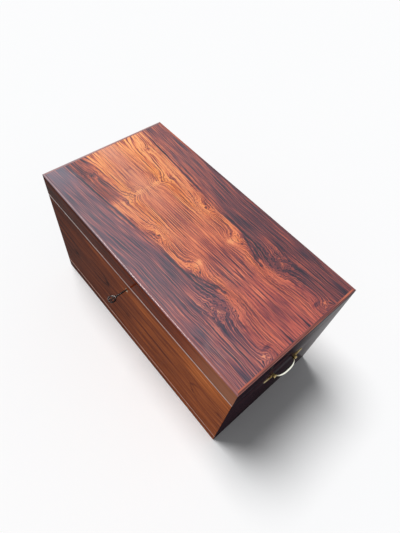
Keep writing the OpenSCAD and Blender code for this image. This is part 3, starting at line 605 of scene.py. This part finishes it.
def veneer(name, colour_of, polish, more_polish, gloss, edges=(), painted_edge_share=0.0, edge_polish=0.8):
    """Lacquered veneer with its figure and pores, and a pale highlight painted on the rounded edges at the
    given heights; more_polish is added to its even polish in places
    """
    f = Finish(name)
    colour, g = colour_of(f)
    weight = more_polish(f) + polish
    if edges:
        highlit = seam_highlights(f, edges)
        # Painted highlight: the rounded edges under the seams are painted pale, and they get more polish
        painted_edge_colour = f.mix(f.smooth(f.z, 0.20, 0.10), SEAM_HIGHLIGHT, BASE_SEAM_HIGHLIGHT)
        colour = f.mix(highlit * painted_edge_share, colour, painted_edge_colour)
        weight = highlit * edge_polish + weight
    smear, fine = lacquer(f, weight, gloss)
    f.set(Base_Color=colour, Roughness=smear * 0.04 + fine * 0.03 + 0.45)
    f.bump(f.noise(f.point(f.x * 60, g * 900, f.y * 60), 1, 2) * 0.5 + smear, 0.00003)
    return f.material


# Lippings round the top

# Colours painted on their roundings: pale painted highlights, and a dark painted shade
PALE_HIGHLIGHT = (0.60, 0.40, 0.40)
WARM_HIGHLIGHT = (0.66, 0.28, 0.245)
GREY_HIGHLIGHT = (0.36, 0.28, 0.30)
ROSE_HIGHLIGHT = (0.66, 0.38, 0.34)
ROUNDING_SHADE = (0.05, 0.014, 0.012)
# Red wood at the right end of the long lippings
RED_END = (0.30, 0.075, 0.065)


def rounding(f, depth, above):
    """1 on a lipping's rounding, 0 on its outermost rim; depth is the distance from the outer face"""
    return f.smooth(depth, 0.0062, 0.0036) * f.smooth(depth, 0.0006, 0.0026) * above


def lipping(name, along_x, outer, face_colour, tone, lift, painted_edge_colours, painted_edge_share, veil=None):
    """Lipping: solid wood above, the colour of the face below it, and a painted colour on its rounding

    Its tone is lifted from one place along it to another, by the third value of lift. The rounding goes from
    the
    first painted colour to the second: a highlight on some lippings, shade on others. A veil of painted
    reflection has two places too, then its share more at the second, its share everywhere and its colour.
    """
    f = Finish(name)
    along, across = (f.x, f.y) if along_x else (f.y, f.x)
    lift_from, lift_to, lift_by = lift
    fine, middle, broad = grain(f, along, across, 21.0)
    value = f.smooth(along, lift_from, lift_to) * lift_by + tone
    top = f.ramp(fine * 0.24 + middle * 0.28 + broad * 0.20 + value, ROSEWOOD)
    if veil:
        veil_from, veil_to, more, everywhere, veil_colour = veil
        # Painted veil of reflected light over the solid wood
        top = f.mix(f.smooth(along, veil_from, veil_to) * more + everywhere, top, veil_colour)
    top = f.mix(f.smooth(along, 0.25, 0.44) * 0.5, top, RED_END)
    above = f.smooth(f.z, TOP_Z - 0.0036, TOP_Z - 0.0020)
    face, _ = face_colour(f)
    # Painted colour on the rounding: pale highlights on the front and left lippings, dark shade on the back
    # and right ones
    patchiness = f.smooth(f.noise(f.place, 24, 3), -0.5, 0.3) * 0.4 + 0.6
    less_at_end = 1 - f.smooth(along, 0.0, 0.40) * 0.35 - f.smooth(along, 0.35, 0.45) * 0.35
    share = rounding(f, abs(across - outer), above) * patchiness * painted_edge_share * less_at_end
    painted_edge_colour = f.mix(f.smooth(along, -0.25, 0.25), *painted_edge_colours)
    smear, fine_smear = lacquer(f, above * 0.85 + 0.06, 0.12)
    f.set(Base_Color=f.mix(share, f.mix(above, face, top), painted_edge_colour),
          Roughness=smear * 0.04 + fine_smear * 0.03 + 0.42)
    f.bump(smear + fine_smear * 0.3, 0.00003)
    return f.material


# Inner pieces

BOARD_WOOD = [
    (0.0, (0.14, 0.08, 0.045)),
    (0.5, (0.34, 0.22, 0.13)),
    (1.0, (0.52, 0.37, 0.23)),
]
LAMINATE_BLACK = (0.012, 0.012, 0.013)
LAMINATE_RUBBED = (0.040, 0.038, 0.037)


def plain_wood(name, tone, along_x):
    """Straight-grained wood of the inner pieces, thinly varnished; the grain runs along x or along y"""
    f = Finish(name)
    along, across = (f.x, f.y + f.z) if along_x else (f.y, f.x + f.z)
    fine, middle, broad = grain(f, along, across + f.noise(f.place, 5, 2) * 0.005, 99.0)
    pore = pores(f, along, across)
    colour = f.ramp(fine * 0.14 + middle * 0.10 + broad * 0.16 + tone, FRONT_WOOD)
    f.set(Base_Color=f.shade(colour, 1 - pore * 0.4), Coat_Weight=0.15,
          Roughness=f.noise(f.place, 60, 2) * 0.08 + 0.5)
    f.surface.inputs["Coat Roughness"].default_value = 0.3
    f.bump(fine * 0.4 - pore, 0.00005)
    return f.material


def raw_board(name):
    """Unpolished board of the underside"""
    f = Finish(name)
    fine, middle, broad = grain(f, f.x, f.y + f.noise(f.place, 4, 2) * 0.008, 120.0)
    colour = f.ramp(fine * 0.10 + middle * 0.16 + broad * 0.14 + 0.5, BOARD_WOOD)
    f.set(Base_Color=colour, Roughness=f.noise(f.place, 80, 3) * 0.1 + 0.75)
    f.bump(fine + middle, 0.00012)
    return f.material


def laminate(name):
    """Black laminate with a fine grained surface and a few light rubs"""
    f = Finish(name)
    rub = f.smooth(f.noise(f.place, 6, 4, 0.65), 0.15, 0.7)
    scratch = f.smooth(f.noise(f.point(f.x * 20, f.y * 700, f.z * 300), 1, 1), 0.55, 0.75)
    f.set(Base_Color=f.mix(rub * 0.5 + scratch * 0.25, LAMINATE_BLACK, LAMINATE_RUBBED),
          Roughness=rub * 0.14 + scratch * 0.1 + 0.28)
    f.bump(f.noise(f.place, 900, 1), 0.00002)
    return f.material


# Metal

# Paler brass at the tips of the handles' feet, and the key's iron: its face, its pale ridges, partly worn and
# partly a painted highlight, and its pits
TIP_BRASS = (0.78, 0.74, 0.60)
IRON_BLACK = (0.008, 0.007, 0.007)
IRON_WORN_HIGHLIGHT = (0.12, 0.105, 0.10)
IRON_PIT = (0.009, 0.006, 0.005)


def brass(name, light, dark, roughness, tarnish=0.35, shade_by_panel=0.0, shade_at_ends=0.0, pale_tips=0.0):
    """Brass with brown tarnish in patches

    Close to the side panels and, on a bail, at its ends, away from the grip, it may be darkened with painted
    shade. The tips of the posts' feet may be paler.
    """
    f = Finish(name)
    patch = f.smooth(f.noise(f.place, 70, 4, 0.6), 0.0, 0.7)
    spot = f.smooth(f.cells(f.place, 420), 0.22, 0.10)
    line = f.noise(f.point(f.x * 300, f.y * 2600, f.z * 2600), 1, 1)
    # Painted shade: darker close to the side panels and at the ends of a bail
    low = f.smooth(abs(f.x), RIGHT_X + 0.0125, RIGHT_X + 0.0045) * shade_by_panel
    end_shade = f.smooth(abs(f.y), 0.028, 0.040) * shade_at_ends
    tip = f.smooth(abs(f.y), 0.058, 0.076) * pale_tips
    painted_shade = (low + end_shade) * (patch * 0.5 + 0.6) * (1 - tip * 0.35)
    share = f.maths("MINIMUM", patch * tarnish + spot * 0.25 + painted_shade, 1.0)
    f.set(Base_Color=f.mix(share, f.mix(tip * 0.15, light, TIP_BRASS), dark), Metallic=1.0,
          Roughness=patch * 0.14 + line * 0.03 + spot * 0.08 + roughness)
    f.bump(line * 0.4 + f.noise(f.place, 220, 2), 0.00001)
    return f.material


def iron(name):
    """Black key iron, pale along the ridges of its stem and bow on the side towards the sun: partly worn,
    partly a painted highlight
    """
    f = Finish(name)
    # Painted highlight, partly worn: pale patches on the ridges, wider towards -x, where the sun comes from
    ridge_highlight = f.smooth(abs(f.z - KEY_Z) - f.x * 0.10, 0.0015, 0.0025)
    rub = ridge_highlight * f.smooth(f.noise(f.place, 260, 3, 0.6), -0.30, 0.40)
    pit = f.smooth(f.cells(f.place, 900), 0.25, 0.08)
    f.set(Base_Color=f.mix(pit * 0.6, f.mix(rub, IRON_BLACK, IRON_WORN_HIGHLIGHT), IRON_PIT), Metallic=1.0,
          Roughness=rub * 0.05 + pit * 0.2 + 0.22)
    f.bump(f.noise(f.place, 500, 3) - pit, 0.00004)
    return f.material


# Which piece has which finish

def paint(material, *names):
    """Gives CAD nodes a finished material"""
    for name in names:
        mesh = nodes[name].data
        mesh.materials.clear()
        mesh.materials.append(material)


def finish_veneers():
    paint(veneer("rosewood top", top_colour, 0.8, smeared_polish, 0.38), "lid_top_board")
    paint(veneer("rosewood front", front_colour, 0.065, lid_rail_polish, 0.01, (LID_EDGE, BASE_EDGE), 0.88),
          "flap_panel", "base_rail", "lid_rail_front")
    paint(veneer("rosewood side", side_colour, 0.07, side_polish, 0.05, (LID_EDGE,), 0.05, 0.08),
          "side_panel_left", "side_panel_right", "lid_rail_left", "lid_rail_right")
    paint(veneer("rosewood back", back_colour, 0.14, lid_rail_polish, 0.15, (LID_EDGE,), 0.3),
          "back_panel", "lid_rail_back")


def finish_lippings():
    paint(lipping("front lipping", True, FRONT_Y, front_colour, tone=0.40, lift=(0.0, 0.3, 0.06),
                  painted_edge_colours=(PALE_HIGHLIGHT, WARM_HIGHLIGHT), painted_edge_share=0.74,
                  veil=(0.35, -0.30, 0.40, 0.25, (0.20, 0.17, 0.21))), "lid_lipping_front")
    paint(lipping("back lipping", True, BACK_Y, back_colour, tone=0.40, lift=(-0.15, -0.36, 0.26),
                  painted_edge_colours=(ROUNDING_SHADE, ROUNDING_SHADE), painted_edge_share=0.3), "lid_lipping_back")
    paint(lipping("left lipping", False, -RIGHT_X, side_colour, tone=0.56, lift=(0.10, 0.22, -0.06),
                  painted_edge_colours=(GREY_HIGHLIGHT, ROSE_HIGHLIGHT), painted_edge_share=0.7,
                  veil=(-0.10, 0.05, -0.25, 0.60, (0.44, 0.33, 0.34))), "lid_lipping_left")
    paint(lipping("right lipping", False, RIGHT_X, side_colour, tone=0.46, lift=(0.15, -0.20, 0.21),
                  painted_edge_colours=(ROUNDING_SHADE, ROUNDING_SHADE), painted_edge_share=0.8), "lid_lipping_right")


def finish_inside():
    paint(plain_wood("inner rosewood along", 0.40, True),
          "shelf_centre", "shelf_right", "bottle_rack_long_slats")
    paint(plain_wood("inner rosewood across", 0.36, False),
          "partition_left", "partition_right", "shelf_battens", "bottle_rack_cross_slats")
    paint(raw_board("base board"), "base_board")
    paint(laminate("black laminate"), "floor_lining", "flap_lining", "lid_lining")


def finish_metal():
    paint(brass("grip brass", (0.90, 0.90, 0.79), (0.22, 0.16, 0.055), 0.16, tarnish=0.12, shade_by_panel=0.6,
                shade_at_ends=1.2), "bail_left", "bail_right")
    paint(brass("post brass", (0.44, 0.35, 0.17), (0.12, 0.072, 0.020), 0.18, tarnish=0.40, shade_by_panel=1.3,
                pale_tips=1.3), *(name for name in nodes if name.startswith("handle_post")))
    paint(brass("fitting brass", (0.80, 0.64, 0.34), (0.40, 0.27, 0.10), 0.28),
          "stay_left", "stay_right", "stay_keeper_left", "stay_keeper_right",
          "lock_case", "lock_cover", "lock_bolt", "strike_plate",
          "flap_hinge_lower_halves", "flap_hinge_links", "flap_hinge_upper_halves",
          "lid_hinge_lower_leaves", "lid_hinge_upper_leaves", "lid_hinge_pins")
    paint(brass("keyhole brass", (0.88, 0.82, 0.60), (0.45, 0.34, 0.14), 0.22), "escutcheon")
    paint(brass("screw brass", (0.70, 0.56, 0.30), (0.30, 0.20, 0.08), 0.34),
          *(name for name in nodes if name.endswith("screws")))
    paint(iron("key iron"), "key")


# Studio

def make_floor():
    """Pale floor that keeps the object's shadow and goes white where it is lit"""
    shape = bmesh.new()
    bmesh.ops.create_grid(shape, x_segments=1, y_segments=1, size=FLOOR_HALF)
    bmesh.ops.translate(shape, verts=shape.verts, vec=(0, 0, cad_box[0].z - FLOOR_GAP))
    mesh = bpy.data.meshes.new("floor")
    shape.to_mesh(mesh)
    shape.free()
    floor = bpy.data.objects.new("floor", mesh)
    bpy.context.scene.collection.objects.link(floor)
    material = bpy.data.materials.new("floor")
    material.use_nodes = True
    tree = material.node_tree
    tree.nodes.remove(tree.nodes["Principled BSDF"])
    paleness = Nodes(tree)
    level = paleness.ray("Camera", "Glossy") * (FLOOR_LIT - FLOOR_BOUNCE) + FLOOR_BOUNCE
    diffuse = paleness.node("ShaderNodeBsdfDiffuse", None, {"Color": level})
    paleness.feed(tree.nodes["Material Output"].inputs["Surface"], diffuse)
    mesh.materials.append(material)


def make_light():
    """Soft light from the upper left over a pale sky, which looks white to the camera and in reflections"""
    world = bpy.data.worlds.new("studio")
    bpy.context.scene.world = world
    world.use_nodes = True
    tree = world.node_tree
    tree.nodes.remove(tree.nodes["Background"])
    sky = Nodes(tree)
    ambient = sky.node("ShaderNodeBackground", None, {"Color": SKY_COLOUR, "Strength": SKY_LEVEL})
    white = sky.node("ShaderNodeBackground", None, {"Color": WHITE, "Strength": FLOOR_LIT})
    seen = sky.ray("Camera", "Glossy", "Transmission")
    blend = sky.node("ShaderNodeMixShader", None, {0: seen, 1: ambient, 2: white})
    sky.feed(tree.nodes["World Output"].inputs["Surface"], blend)
    sun = bpy.data.lights.new("sun", "SUN")
    sun.energy = SUN_STRENGTH
    sun.angle = SUN_ANGLE
    sun.color = SUN_COLOUR
    lamp = bpy.data.objects.new("sun", sun)
    lamp.rotation_mode = "QUATERNION"
    lamp.rotation_quaternion = SUN_FROM.to_track_quat("Z", "Y")
    bpy.context.scene.collection.objects.link(lamp)
    bpy.context.scene.view_settings.view_transform = "Standard"


make_camera()
make_light()
make_floor()
finish_veneers()
finish_lippings()
finish_inside()
finish_metal()
